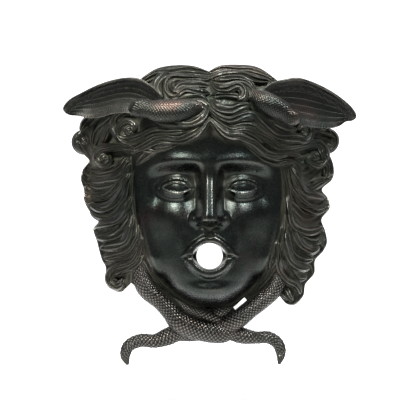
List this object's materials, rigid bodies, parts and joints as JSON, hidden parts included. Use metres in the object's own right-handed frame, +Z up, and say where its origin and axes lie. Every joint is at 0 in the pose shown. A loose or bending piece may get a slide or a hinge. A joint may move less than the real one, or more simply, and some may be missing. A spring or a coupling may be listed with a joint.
{
  "type": "fountain mask",
  "caption": "Cast bronze gorgon mask for a wall fountain: a calm winged face in wavy locks with knotted snakes, hollow behind, with a round spout hole in the mouth.",
  "frame": {"origin": "on the flat back band at the top of the mask, where it bears on the wall", "axes": "+Z up, +X to the viewer's right, +Y into the wall, so that the face looks along -Y"},
  "size_m": [0.296, 0.092, 0.3012],
  "materials": {
    "bronze": "dark patinated bronze, worn on the high places"
  },
  "bodies": {
    "root": {"gorgon_mask": "bronze"}
  },
  "joints": []
}
